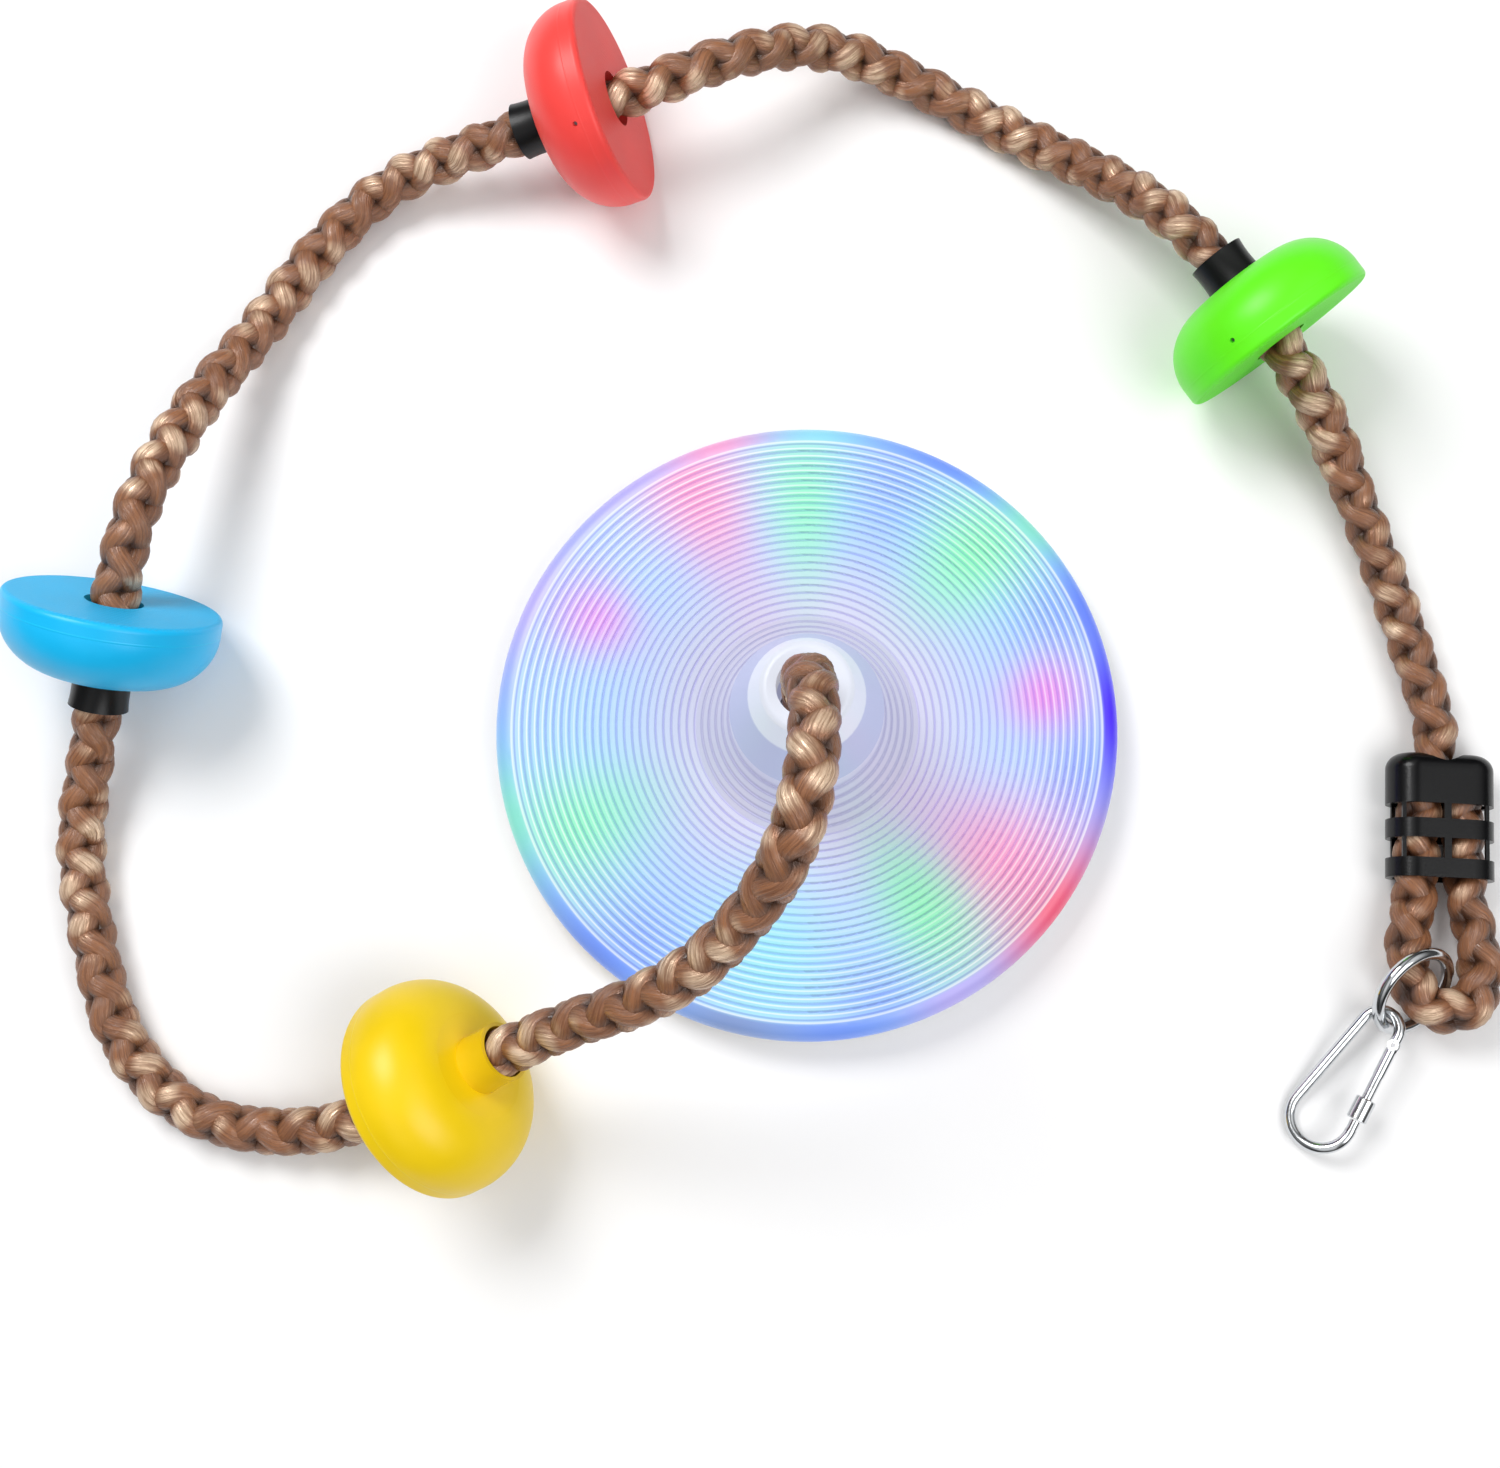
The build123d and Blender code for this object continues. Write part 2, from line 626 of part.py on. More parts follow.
# ---------------------------------------------------------------- ring
ring_mid_r = ring_mid_d / 2
ring_centre = Vector(285.7, -126.6, 19.6)
ring_heading = math.radians(-51.5)
ring_tilt = math.radians(48.3)
ring_across = Vector(-math.sin(ring_heading), math.cos(ring_heading), 0)
ring_down = Vector(math.cos(ring_heading) * math.cos(ring_tilt),
                   math.sin(ring_heading) * math.cos(ring_tilt), -math.sin(ring_tilt))
ring_place = Plane(ring_centre, x_dir=ring_across, z_dir=ring_across.cross(ring_down)).location
save("steel_ring", ring_place * Torus(ring_mid_r, ring_wire / 2))

# ---------------------------------------------------------------- carabiner
hang_at = math.radians(166)     # where on the ring the carabiner hangs
hang_point = ring_centre + ring_across * (ring_mid_r * math.cos(hang_at)) \
    + ring_down * (ring_mid_r * math.sin(hang_at))
hook_roll = math.radians(22)    # turn of the carabiner about its own length
hook_long = Vector(-0.565, -0.825, -0.135).normalized()
hook_side = Vector(0, 0, 1).cross(hook_long).normalized() * -1
flat_up = hook_long.cross(hook_side)
if flat_up.Z < 0:
    flat_up = flat_up * -1
hook_normal = flat_up * math.cos(hook_roll) + hook_side * math.sin(hook_roll)
# local frame: +X from the small end to the wide end, +Y the gate side, +Z out of the plane
eye_inner_r = hook_eye_r - hook_wire / 2
hang_back = eye_inner_r - ring_wire / 2 - hang_play    # the ring sits towards the small end
hook_place = Plane(hang_point + hook_long * hang_back, x_dir=hook_long, z_dir=hook_normal).location

slope = math.asin((hook_bow_r - hook_eye_r) / hook_span)
gate_dir = (math.cos(slope), math.sin(slope))
gate_root = (-hook_eye_r * math.sin(slope), hook_eye_r * math.cos(slope))
gate_length_line = hook_span * math.cos(slope)


def on_gate(t):
    """Point on the gate side's centre line, t from the small end's tangent point."""
    return (gate_root[0] + gate_dir[0] * t, gate_root[1] + gate_dir[1] * t, 0)


def gate_frame(t):
    """Frame on the gate side: +Z along it towards the nose."""
    return Plane(on_gate(t), x_dir=(0, 0, 1), z_dir=(gate_dir[0], gate_dir[1], 0)).location


def wire_along(*edges):
    """Round wire of the hook's thickness along joined edges."""
    path = Wire(edges)
    return sweep(Plane(path @ 0, z_dir=path % 0) * Circle(hook_wire / 2), path=path)


def on_side(t, sign):
    """Point on either side's line; sign 1 is the gate side."""
    x, y, _ = on_gate(t)
    return (x, sign * y, 0)


frame_body = wire_along(
    Line(on_gate(gate_start - 1.5), on_gate(0)),
    ThreePointArc(on_gate(0), (-hook_eye_r, 0, 0), on_side(0, -1)),
    Line(on_side(0, -1), on_side(gate_length_line, -1)),
    ThreePointArc(on_side(gate_length_line, -1), (hook_span + hook_bow_r, 0, 0), on_side(gate_length_line, 1)),
    Line(on_side(gate_length_line, 1), on_gate(gate_end + nose_gap)),
)
# the nose is turned down so that the nut can cover it
nose_cut = tube(hook_wire, thread_d / 2, 0, nose_len)
frame_body -= gate_frame(gate_end + nose_gap - 0.01) * nose_cut
# tongue at the hinge
boss_r = hook_wire / 2
frame_body -= Pos(*on_gate(gate_start)) * Cylinder(boss_r + tongue_gap, hook_wire + 2)
tongue = Pos(*on_gate(gate_start)) * Cylinder(boss_r - 0.3, tongue_t)
tongue += Pos(*on_gate(gate_start)) * Rot(0, 0, math.degrees(slope)) * Pos(-2.6, 0, 0) * Box(5.2, 3.6, tongue_t)
frame_body += tongue
frame_body -= Pos(*on_gate(gate_start)) * Cylinder(hinge_pin_d / 2, hook_wire + 2)
save("carabiner_frame", hook_place * frame_body)
save("gate_pin", hook_place * (Pos(*on_gate(gate_start)) * Cylinder(hinge_pin_d / 2, hook_wire)))

gate_len = gate_end - gate_start
gate_rod = rod(hook_wire / 2, 0, gate_len - thread_l) + rod(thread_d / 2, 0, gate_len)
gate_body = gate_frame(gate_start) * gate_rod
gate_body += Pos(*on_gate(gate_start)) * Cylinder(boss_r, hook_wire)
fork_slot = Rot(0, 0, math.degrees(slope)) * Pos(-1.6, 0, 0) * Box(3.2 + 2 * boss_r, 4 * boss_r,
                                                                 tongue_t + 2 * tongue_gap)
gate_body -= Pos(*on_gate(gate_start)) * fork_slot
gate_body -= Pos(*on_gate(gate_start)) * Cylinder(hinge_pin_d / 2 + hinge_gap, hook_wire + 2)
spring_from = boss_r + 1.5
gate_body -= gate_frame(gate_start) * rod(spring_bore_r, spring_from, spring_from + spring_l)
save("gate", hook_place * gate_body)
save("gate_spring", hook_place * gate_frame(gate_start)
     * tube(spring_bore_r - 0.1, spring_bore_r - 0.5, spring_from + 0.1, spring_from + spring_l - 0.1))
nut = tube(nut_d / 2, thread_d / 2 + nut_gap, gate_len - nut_l, gate_len)
nut = chamfer(nut.edges().filter_by(GeomType.CIRCLE).sort_by(SortBy.RADIUS)[-2:], 0.5)
save("lock_nut", hook_place * gate_frame(gate_start) * nut)

# ---------------------------------------------------------------- figures for the joints and mounts
for name, vec in (("ring_centre", ring_centre), ("hang_point", hang_point), ("hook_long", hook_long),
                  ("hook_normal", hook_normal), ("ring_across", ring_across), ("ring_down", ring_down)):
    print(name, [round(v, 4) for v in (vec.X, vec.Y, vec.Z)])
tangent = ring_across * -math.sin(hang_at) + ring_down * math.cos(hang_at)
print("hang_axis", [round(v, 4) for v in (tangent.X, tangent.Y, tangent.Z)])
for t, name in ((gate_start, "gate_hinge"), (gate_end, "gate_tip"), (gate_end - nut_l / 2, "nut_mid")):
    p = (hook_place * Pos(*on_gate(t))).position
    print(name, [round(v, 3) for v in (p.X, p.Y, p.Z)])
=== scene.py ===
"""Looks of the light-up disc swing seat: glowing disc, plaited rope, platforms, clamp, ring, hook.

Metres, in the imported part's own frame: origin on the floor under the disc's axis, +Z up.
"""

import logging
import math
from dataclasses import dataclass, field
from enum import Enum
from typing import Any, Sequence

import bpy
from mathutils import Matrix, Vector


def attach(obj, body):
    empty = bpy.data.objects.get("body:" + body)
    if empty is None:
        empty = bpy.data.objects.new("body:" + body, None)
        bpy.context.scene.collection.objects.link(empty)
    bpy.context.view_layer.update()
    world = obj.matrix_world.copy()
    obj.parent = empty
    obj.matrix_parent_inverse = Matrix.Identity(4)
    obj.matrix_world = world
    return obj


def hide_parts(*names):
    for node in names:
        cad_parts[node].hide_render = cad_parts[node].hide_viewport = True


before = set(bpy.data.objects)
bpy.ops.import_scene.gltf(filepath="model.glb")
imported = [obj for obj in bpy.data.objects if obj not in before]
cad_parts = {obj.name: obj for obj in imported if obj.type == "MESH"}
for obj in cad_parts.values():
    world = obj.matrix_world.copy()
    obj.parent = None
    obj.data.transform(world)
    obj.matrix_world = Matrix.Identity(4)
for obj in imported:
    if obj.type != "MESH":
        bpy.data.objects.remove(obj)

Colour = tuple[float, float, float]
Point = tuple[float, float, float]
log = logging.getLogger("scene")


# ------------------------------------------------------------------ named options
class NormalMode(Enum):
    """How a curve's cross direction is kept along it."""

    LEVEL = "Z_UP"


class Glow(Enum):
    """Light colours that the disc shows, linear."""

    SKY = (0.40, 0.70, 1.00)
    BLUE = (0.16, 0.30, 0.98)
    DEEP = (0.08, 0.03, 1.00)
    LAVENDER = (0.52, 0.44, 0.94)
    PINK = (1.00, 0.36, 0.62)
    MAGENTA = (0.98, 0.20, 0.78)
    RED = (0.92, 0.10, 0.18)
    GREEN = (0.26, 1.00, 0.46)
    CYAN = (0.30, 0.92, 0.90)
    SMOKE = (0.20, 0.20, 0.34)


# ------------------------------------------------------------------ node trees
class Val:
    """A socket of a node tree that can be used in sums."""

    def __init__(self, graph: "Graph", socket: Any) -> None:
        """Args: graph: tree that the socket is in. socket: an output socket."""
        self.graph = graph
        self.socket = socket

    def _math(self, operation: str, *others: Any, first: Any = None) -> "Val":
        """Args: operation: Math operation. others: further inputs. first: left side if not self.
        Returns: the result."""
        inputs = [self if first is None else first, *others]
        return self.graph.node("ShaderNodeMath", {"operation": operation}, dict(enumerate(inputs)))

    def __add__(self, other: Any) -> "Val":
        return self._math("ADD", other)

    def __sub__(self, other: Any) -> "Val":
        return self._math("SUBTRACT", other)

    def __mul__(self, other: Any) -> "Val":
        return self._math("MULTIPLY", other)

    def __truediv__(self, other: Any) -> "Val":
        return self._math("DIVIDE", other)

    def __radd__(self, other: Any) -> "Val":
        return self._math("ADD", self, first=other)

    def __rsub__(self, other: Any) -> "Val":
        return self._math("SUBTRACT", self, first=other)

    def __rmul__(self, other: Any) -> "Val":
        return self._math("MULTIPLY", self, first=other)

    def fn(self, operation: str, *others: Any) -> "Val":
        """Args: operation: any Math operation. others: its further inputs. Returns: the result."""
        return self._math(operation, *others)

    def step(self, low: float, high: float) -> "Val":
        """Args: low, high: where the smooth step from 0 to 1 starts and ends. Returns: the step."""
        return self.graph.node("ShaderNodeMapRange", {"interpolation_type": "SMOOTHSTEP"},
                               {0: self, 1: low, 2: high})


class Graph:
    """A node tree with one method that makes every kind of node."""

    def __init__(self, tree: bpy.types.NodeTree) -> None:
        """Args: tree: the tree to fill."""
        self.tree = tree

    def node(self, kind: str, settings: dict[str, Any] | None = None,
             inputs: dict[Any, Any] | None = None, output: Any = 0) -> Val:
        """Makes a node.

        Args: kind: node type. settings: node properties. inputs: values or sockets by name or
        index. output: name or index of the output wanted.
        Returns: that output, or the node itself wrapped if it has none.
        """
        made = self.tree.nodes.new(kind)
        for key, value in (settings or {}).items():
            setattr(made, key, value)
        for key, value in (inputs or {}).items():
            self.put(made.inputs[key], value)
        return Val(self, made.outputs[output] if len(made.outputs) else made)

    def put(self, socket: Any, value: Any) -> None:
        """Args: socket: input to fill. value: a Val, or a plain value."""
        if isinstance(value, Val):
            self.tree.links.new(value.socket, socket)
        else:
            socket.default_value = value

    def vector(self, operation: str, *inputs: Any, output: Any = 0) -> Val:
        """Args: operation: Vector Math operation. inputs: its inputs. output: socket wanted.
        Returns: the result."""
        return self.node("ShaderNodeVectorMath", {"operation": operation}, dict(enumerate(inputs)), output)

    def combine(self, x: Any = 0.0, y: Any = 0.0, z: Any = 0.0) -> Val:
        """Args: x, y, z: parts. Returns: the vector."""
        return self.node("ShaderNodeCombineXYZ", None, {0: x, 1: y, 2: z})

    def split(self, vector: Val) -> tuple[Val, Val, Val]:
        """Args: vector: a vector. Returns: its three parts."""
        made = self.node("ShaderNodeSeparateXYZ", None, {0: vector}).socket.node
        return Val(self, made.outputs[0]), Val(self, made.outputs[1]), Val(self, made.outputs[2])


class MaterialGraph(Graph):
    """The tree of one material, with its Principled shader."""

    def __init__(self, name: str) -> None:
        """Args: name: the material's name."""
        self.material = bpy.data.materials.new(name)
        self.material.use_nodes = True
        super().__init__(self.material.node_tree)
        self.shader = next(n for n in self.tree.nodes if n.type == "BSDF_PRINCIPLED")
        self.place = self.node("ShaderNodeTexCoord", None, None, "Object")

    def set(self, **values: Any) -> None:
        """Args: values: shader inputs, their names with _ for a space."""
        for key, value in values.items():
            self.put(self.shader.inputs[key.replace("_", " ")], value)

    def noise(self, scale: float, detail: float = 3.0, vector: Val | None = None,
              roughness: float = 0.5) -> Val:
        """Args: scale: features per metre. detail, roughness: of the noise. vector: coordinates.
        Returns: values from 0 to 1, mostly near 0.5."""
        return self.node("ShaderNodeTexNoise", None,
                         {"Vector": vector or self.place, "Scale": scale, "Detail": detail,
                          "Roughness": roughness})

    def mix(self, share: Any, first: Any, second: Any, blend: str = "MIX") -> Val:
        """Args: share: 0 to 1. first, second: colours. blend: blend type. Returns: the mix."""
        return self.node("ShaderNodeMix", {"data_type": "RGBA", "blend_type": blend},
                         {0: share, 6: rgba(first), 7: rgba(second)}, 2)

    def bump(self, height: Val, depth: float, strength: float = 1.0) -> Val:
        """Args: height: 0 to 1. depth: in metres. strength: of the effect. Returns: a normal."""
        return self.node("ShaderNodeBump", None,
                         {"Height": height, "Distance": depth, "Strength": strength})

    def ease(self, low: float, high: float, value: Val) -> Val:
        """Args: low, high: outputs at 0 and 1. value: input. Returns: the blend of the two."""
        return value * (high - low) + low


def rgba(colour: Any) -> Any:
    """Args: colour: three numbers, or a Val. Returns: what a colour socket takes."""
    return colour if isinstance(colour, Val) else (*colour, 1.0)


def scaled(colour: Colour, factor: float) -> Colour:
    """Args: colour: linear colour. factor: multiplier. Returns: the colour, kept below 1."""
    return tuple(min(1.0, part * factor) for part in colour)


# ------------------------------------------------------------------ finishes
@dataclass(frozen=True)
class Plastic:
    """Moulded plastic or rubber with a fine grain and slight mottling."""

    name: str
    colour: Colour
    roughness: float = 0.42
    mottle: float = 0.06
    grain: float = 900.0
    depth: float = 0.00008
    coat: float = 0.0
    shine: float = 0.5

    def build(self) -> bpy.types.Material:
        """Returns: the material."""
        g = MaterialGraph(self.name)
        cloud = g.noise(45.0, 3.0)
        grain = g.noise(self.grain, 2.0)
        g.set(Base_Color=g.mix(cloud, scaled(self.colour, 1 - self.mottle),
                               scaled(self.colour, 1 + self.mottle)),
              Roughness=g.ease(self.roughness - 0.07, self.roughness + 0.07, cloud),
              Coat_Weight=self.coat, Coat_Roughness=0.12, Specular_IOR_Level=self.shine,
              Normal=g.bump(grain, self.depth, 0.5))
        return g.material


@dataclass(frozen=True)
class Metal:
    """Plated or drawn metal with fine scratches and dull patches."""

    name: str
    colour: Colour
    roughness: float = 0.16
    scratch: float = 0.00004

    def build(self) -> bpy.types.Material:
        """Returns: the material."""
        g = MaterialGraph(self.name)
        cloud = g.noise(160.0, 4.0)
        fine = g.noise(2600.0, 2.0)
        g.set(Base_Color=g.mix(cloud, scaled(self.colour, 0.86), self.colour), Metallic=1.0,
              Roughness=g.ease(self.roughness * 0.6, self.roughness * 1.4, cloud),
              Normal=g.bump(fine, self.scratch, 0.35))
        return g.material


@dataclass(frozen=True)
class PlatformPlastic:
    """Foot platform's plastic: smooth dome, fine grid on the flat face with painted shade in its lines,
    parting line at its edge with a painted highlight along it.
    """

    name: str
    colour: Colour
    middle: Point
    axis: Point
    up: Point
    half_t: float = 0.018
    skirt: float = 0.008
    pitch: float = 0.0021

    def build(self) -> bpy.types.Material:
        """Returns: the material."""
        g = MaterialGraph(self.name)
        side = Vector(self.axis).cross(Vector(self.up))
        from_middle = g.vector("SUBTRACT", g.place, self.middle)
        along = g.vector("DOT_PRODUCT", from_middle, self.axis, output="Value")
        u = g.vector("DOT_PRODUCT", from_middle, self.up, output="Value")
        v = g.vector("DOT_PRODUCT", from_middle, tuple(side), output="Value")
        flat = 1.0 - along.step(-self.half_t + 0.0004, -self.half_t + 0.0012)
        lines = ((u * (2 * math.pi / self.pitch)).fn("COSINE").fn("MAXIMUM",
                 (v * (2 * math.pi / self.pitch)).fn("COSINE"))).step(0.35, 0.95)
        seam_highlight = 1.0 - (along + (self.half_t - self.skirt)).fn("ABSOLUTE").step(0.0001, 0.0006)
        cloud = g.noise(38.0, 3.0)
        speck = g.noise(1500.0, 2.0)
        body = g.mix(cloud, scaled(self.colour, 0.93), scaled(self.colour, 1.06))
        # painted shade in the lines of the grid on the flat face
        shaded = g.mix(flat * lines * 0.22, body, scaled(self.colour, 0.62))
        height = speck * 0.12 + flat * lines * -0.6 + seam_highlight * 0.5
        # a painted highlight along the parting line
        g.set(Base_Color=g.mix(seam_highlight * 0.18, shaded, scaled(self.colour, 1.3)),
              Roughness=g.ease(0.30, 0.42, cloud) + flat * 0.16,
              Specular_IOR_Level=0.38,
              Normal=g.bump(height, 0.0003, 0.6))
        return g.material


@dataclass(frozen=True)
class Lamp:
    """One coloured patch of light in the disc: where it is and how far it reaches."""

    glow: Glow
    turn: float
    radius: float
    half_turn: float
    half_radius: float
    share: float = 1.0


@dataclass(frozen=True)
class GlowingDisc:
    """Translucent white shell lit from inside by coloured lamps, with ring grooves; painted shade in the
    grooves and on the hub's cone, painted highlights beside the grooves, along the rim band's edge and on the
    hub's top.
    """

    name: str
    lamps: Sequence[Lamp]
    rim_lamps: Sequence[Lamp]
    edge_r: float = 0.150
    groove_edge: float = 0.0134
    groove_pitch: float = 0.003765
    last_groove: float = 0.0525
    flare_rings: Sequence[float] = (0.0503, 0.0468, 0.0433, 0.0400, 0.0369)

    def spread(self, g: MaterialGraph, base: Any, lamps: Sequence[Lamp], radius: Val,
               unit: Val) -> Any:
        """Lays lamps over a colour.

        Args: g: tree. base: colour under them. lamps: the lamps. radius: distance from the axis.
        unit: level unit vector away from the axis.
        Returns: the colour.
        """
        for lamp in lamps:
            angle = math.radians(lamp.turn)
            facing = g.vector("DOT_PRODUCT", unit, (math.cos(angle), math.sin(angle), 0.0), output="Value")
            off_turn = facing.fn("MINIMUM", 1.0).fn("ARCCOSINE") / math.radians(lamp.half_turn)
            off_radius = (radius - lamp.radius) / lamp.half_radius
            weight = (0.0 - off_turn * off_turn - off_radius * off_radius).fn("EXPONENT") * lamp.share
            base = g.mix(weight, base, lamp.glow.value)
        return base

    def build(self) -> bpy.types.Material:
        """Returns: the material."""
        g = MaterialGraph(self.name)
        x, y, z = g.split(g.place)
        radius = (x * x + y * y).fn("SQRT")
        unit = g.vector("NORMALIZE", g.combine(x, y, 0.0))
        inner = g.mix(radius.step(0.048, 0.112), (0.66, 0.66, 0.84), (0.47, 0.70, 1.0))
        face = self.spread(g, inner, self.lamps, radius, unit)
        rim = self.spread(g, g.mix(0.5, Glow.SKY.value, Glow.BLUE.value), self.rim_lamps, radius, unit)
        on_rim = radius.step(self.edge_r - 0.0095, self.edge_r - 0.0065)
        lit = g.mix(on_rim, face, rim)
        # rings: painted shade at the bottom of a groove, a painted highlight beside it towards the rim
        count = (self.edge_r - self.groove_edge - radius) / self.groove_pitch
        wave = (count * (2 * math.pi)).fn("COSINE")
        in_rings = radius.step(self.last_groove, self.last_groove + 0.002) * (1.0 - on_rim) \
            * (1.0 - z.step(0.028, 0.032))
        crease_shade = wave.step(0.45, 0.98) * in_rings
        light = ((count + 0.40) * (2 * math.pi)).fn("COSINE").step(0.65, 1.0) * in_rings \
            * radius.step(0.085, 0.135)
        # painted highlight: a white line along the inner edge of the rim band
        rim_edge_highlight = 1.0 - (radius - (self.edge_r - 0.0085)).fn("ABSOLUTE").step(0.0002, 0.0008)
        groove_shade_colour = g.mix(1.0, lit, (0.60, 0.54, 0.84), "MULTIPLY")
        ringed = g.mix(crease_shade * 0.75, lit, groove_shade_colour)
        ringed = g.mix(light * 0.55, ringed, (1.0, 1.0, 1.0))
        ringed = g.mix(rim_edge_highlight * 0.35, ringed, (1.0, 1.0, 1.0))
        # painted shade on the hub's cone and a painted highlight on its top
        hub = z.step(0.0640, 0.0665)
        top = z.step(0.0965, 0.0990)
        # painted shade: dark lines in the grooves where the disc flares up to the hub
        for ring in self.flare_rings:
            line = 1.0 - (radius - ring).fn("ABSOLUTE").step(0.0004, 0.0011)
            ringed = g.mix(line * 0.55 * z.step(0.026, 0.028), ringed, (0.34, 0.34, 0.60))
        whole = g.mix(hub, ringed, (0.52, 0.56, 0.80))
        whole = g.mix(top, whole, (0.80, 0.84, 0.95))
        speck = g.noise(1700.0, 2.0)
        g.set(Base_Color=g.mix(1.0, whole, (0.56, 0.56, 0.56), "MULTIPLY"), Emission_Color=whole,
              Emission_Strength=0.44, Roughness=g.ease(0.34, 0.46, speck), Coat_Weight=0.10,
              Coat_Roughness=0.2, Normal=g.bump(speck, 0.00006, 0.4))
        return g.material


@dataclass(frozen=True)
class RopeFibre:
    """Glossy twisted fibre: fine lines along each strand, painted shade between the strands and a painted
    highlight on each lobe's top.
    """

    name: str
    # the first colour is painted shade between the strands, the last a painted highlight on their tops
    crease_shade: Colour = (0.060, 0.022, 0.009)
    mid: Colour = (0.330, 0.142, 0.066)
    light: Colour = (1.00, 0.76, 0.54)
    slant: float = 70.0
    streak: float = 18.0

    def build(self) -> bpy.types.Material:
        """Returns: the material."""
        g = MaterialGraph(self.name)
        run = g.node("ShaderNodeAttribute", {"attribute_name": "run"}, None, "Fac")
        around = g.node("ShaderNodeAttribute", {"attribute_name": "around"}, None, "Fac")
        out = g.node("ShaderNodeAttribute", {"attribute_name": "out"}, None, "Fac")
        lobe = g.node("ShaderNodeAttribute", {"attribute_name": "lobe"}, None, "Fac")
        turn = around * (2 * math.pi)
        # coordinates that slant across the strand, as twisted yarns do
        lay = g.combine((turn + run * self.slant).fn("COSINE"), (turn + run * self.slant).fn("SINE"),
                        run * self.streak)
        yarns = g.noise(3.4, 3.0, lay, 0.6)
        hairs = g.noise(8.5, 3.0, lay, 0.7)
        fibre = (yarns * 0.4 + hairs * 0.6).step(0.37, 0.60)
        # painted shade where a strand dives under its neighbours and a painted highlight on the top of its
        # lobe
        crown_highlight = out.step(0.84, 1.0)
        cleft_shade = out.step(0.66, 0.90)
        # painted sheen: a bright band across the middle of each lobe, darker at its ends
        shine = lobe.step(-0.1, 0.9) * (fibre * 0.55 + 0.45)
        patch = g.noise(30.0, 2.0).step(0.30, 0.70)
        tone = g.mix(crown_highlight * shine * (patch * 0.35 + 0.65), self.mid, self.light)
        toned = g.mix(fibre, g.mix(1.0, tone, (0.56, 0.50, 0.46), "MULTIPLY"), tone)
        g.set(Base_Color=g.mix(cleft_shade, self.crease_shade, toned), Metallic=shine * 0.3,
              Roughness=g.ease(0.38, 0.26, fibre), Specular_IOR_Level=0.6,
              Normal=g.bump(fibre, 0.0004, 0.5))
        return g.material


# ------------------------------------------------------------------ geometry nodes
class ShapeGraph(Graph):
    """A geometry node tree that ends in Realize Instances and Set Material."""

    def __init__(self, name: str) -> None:
        """Args: name: the tree's name."""
        super().__init__(bpy.data.node_groups.new(name, "GeometryNodeTree"))
        face = self.tree.interface
        face.new_socket("Geometry", in_out="INPUT", socket_type="NodeSocketGeometry")
        face.new_socket("Geometry", in_out="OUTPUT", socket_type="NodeSocketGeometry")
        self.entry = self.tree.nodes.new("NodeGroupInput")
        self.exit = self.tree.nodes.new("NodeGroupOutput")
        self.names: dict[str, str] = {}

    def asked(self, name: str, kind: str = "NodeSocketFloat") -> Val:
        """Args: name: input's name. kind: its socket type. Returns: the new named input."""
        self.names[name] = self.tree.interface.new_socket(name, in_out="INPUT", socket_type=kind).identifier
        return Val(self, self.entry.outputs[name])

    def shape(self) -> Val:
        """Returns: the geometry that comes in."""
        return Val(self, self.entry.outputs["Geometry"])

    def close(self, shape: Val, material: Val) -> None:
        """Args: shape: what was made. material: its finish."""
        smooth = self.node("GeometryNodeSetShadeSmooth", None, {0: shape})
        real = self.node("GeometryNodeRealizeInstances", None, {0: smooth})
        done = self.node("GeometryNodeSetMaterial", None, {"Geometry": real, "Material": material})
        self.put(self.exit.inputs[0], done)

    def grow(self, name: str, mesh: bpy.types.Mesh, values: dict[str, Any]) -> bpy.types.Object:
        """Runs the tree on a mesh and keeps the result as a plain mesh.

        Args: name: new object's name. mesh: what comes in. values: the named inputs.
        Returns: the object.
        """
        seed = bpy.data.objects.new(name, mesh)
        bpy.context.scene.collection.objects.link(seed)
        mod = seed.modifiers.new("grow", "NODES")
        mod.node_group = self.tree
        for key, value in values.items():
            mod[self.names[key]] = value
        graph = bpy.context.evaluated_depsgraph_get()
        made = bpy.data.meshes.new_from_object(seed.evaluated_get(graph), depsgraph=graph)
        seed.modifiers.remove(mod)
        seed.data = made
        made.name = name
        return seed


